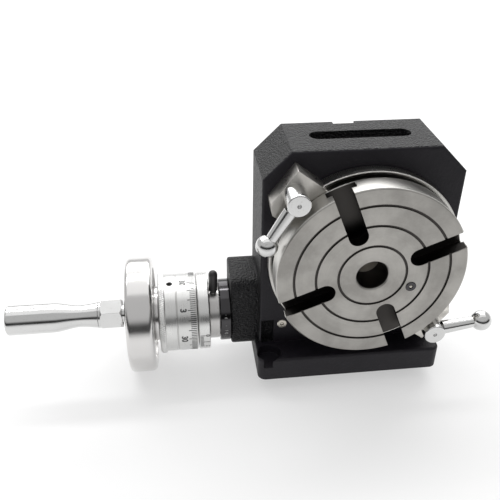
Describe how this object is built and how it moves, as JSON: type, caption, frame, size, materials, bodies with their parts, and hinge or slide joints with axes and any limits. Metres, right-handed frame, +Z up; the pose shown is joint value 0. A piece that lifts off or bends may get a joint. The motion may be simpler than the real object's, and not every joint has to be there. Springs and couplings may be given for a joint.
{
  "type": "worm-driven rotary table",
  "caption": "Compact rotary table with a T-slotted round face turned by a worm and wheel through a handwheel and graduated dial, with table clamps and an eccentric worm release.",
  "frame": {"origin": "on the foot's seat, under the spindle axis, in the plane of the worm's axis", "axes": "+Z up, +X to the right along the worm's axis away from the handwheel, -Y out of the table's face along the spindle axis"},
  "size_m": [0.2918, 0.0852, 0.1555],
  "materials": {
    "black_wrinkle_paint": "wrinkled black enamel on cast iron",
    "ground_steel": "ground",
    "machined_steel": "turned",
    "bronze": "machined",
    "black_oxide": "black oxide",
    "satin_chrome": "satin",
    "polished_chrome": "polished",
    "nickel": "bright nickel",
    "black_vinyl": "matt dipped vinyl"
  },
  "bodies": {
    "base": {"body_casting": "black_wrinkle_paint", "spindle_bush": "bronze", "rear_cover": "machined_steel", "rear_cover_screws": "black_oxide", "housing_ring": "black_oxide", "housing_ring_screws": "black_oxide", "body_oiler_cup": "nickel", "clamp_dog_left": "ground_steel", "clamp_dog_right": "ground_steel"},
    "body_oiler": {"body_oiler_ball": "nickel"},
    "table": {"table_plate": "ground_steel", "worm_wheel": "bronze", "wheel_key": "machined_steel", "spindle_nut": "machined_steel", "table_oiler_cup": "nickel"},
    "table_oiler": {"table_oiler_ball": "nickel"},
    "sleeve": {"eccentric_sleeve": "machined_steel", "sleeve_lever_pin": "machined_steel", "sleeve_lever_grip": "black_vinyl", "vernier_ring": "satin_chrome", "vernier_screws": "black_oxide", "worm_bush_left": "bronze", "worm_bush_right": "bronze"},
    "worm": {"worm_shaft": "machined_steel", "thrust_nut": "machined_steel", "handwheel": "polished_chrome", "handwheel_key": "machined_steel", "handwheel_washer": "machined_steel", "handwheel_nut": "polished_chrome", "handle_stud": "polished_chrome", "handle_end_screw": "polished_chrome"},
    "dial": {"dial": "satin_chrome", "dial_set_screw": "black_oxide"},
    "grip": {"handle_grip": "polished_chrome"},
    "left_clamp": {"clamp_bolt_left": "polished_chrome", "clamp_lever_left": "polished_chrome", "clamp_ball_left": "polished_chrome"},
    "right_clamp": {"clamp_bolt_right": "polished_chrome", "clamp_lever_right": "polished_chrome", "clamp_ball_right": "polished_chrome"}
  },
  "joints": [
    {"name": "table_spin", "type": "hinge", "parent": "base", "child": "table", "pos_m": [0, 0, 0.08], "axis": [0, 1, 0], "continuous": true},
    {"name": "sleeve_turn", "type": "hinge", "parent": "base", "child": "sleeve", "pos_m": [0, 0.00127, 0.02573], "axis": [1, 0, 0], "range_deg": [0, 100]},
    {"name": "worm_spin", "type": "hinge", "parent": "sleeve", "child": "worm", "pos_m": [0, 0, 0.027], "axis": [1, 0, 0], "continuous": true},
    {"name": "dial_zero", "type": "hinge", "parent": "worm", "child": "dial", "pos_m": [-0.11, 0, 0.027], "axis": [1, 0, 0], "continuous": true},
    {"name": "grip_spin", "type": "hinge", "parent": "worm", "child": "grip", "pos_m": [-0.18, -0.01992, 0.04371], "axis": [1, 0, 0], "continuous": true},
    {"name": "clamp_left_turn", "type": "hinge", "parent": "base", "child": "left_clamp", "pos_m": [-0.044, -0.042, 0.1267], "axis": [0, 1, 0], "range_deg": [-2, 90]},
    {"name": "clamp_right_turn", "type": "hinge", "parent": "base", "child": "right_clamp", "pos_m": [0.044, -0.042, 0.0333], "axis": [0, 1, 0], "range_deg": [-40, 14]},
    {"name": "body_oiler_press", "type": "slide", "parent": "base", "child": "body_oiler", "axis": [0, 1, 0], "range_m": [0, 0.0006], "stiffness_N_per_m": 150, "springref_m": -0.0003},
    {"name": "table_oiler_press", "type": "slide", "parent": "table", "child": "table_oiler", "axis": [0, 1, 0], "range_m": [0, 0.0006], "stiffness_N_per_m": 150, "springref_m": -0.0003}
  ],
  "couplings": [
    {"joint": "worm_spin", "follows": "table_spin", "ratio": 90}
  ]
}
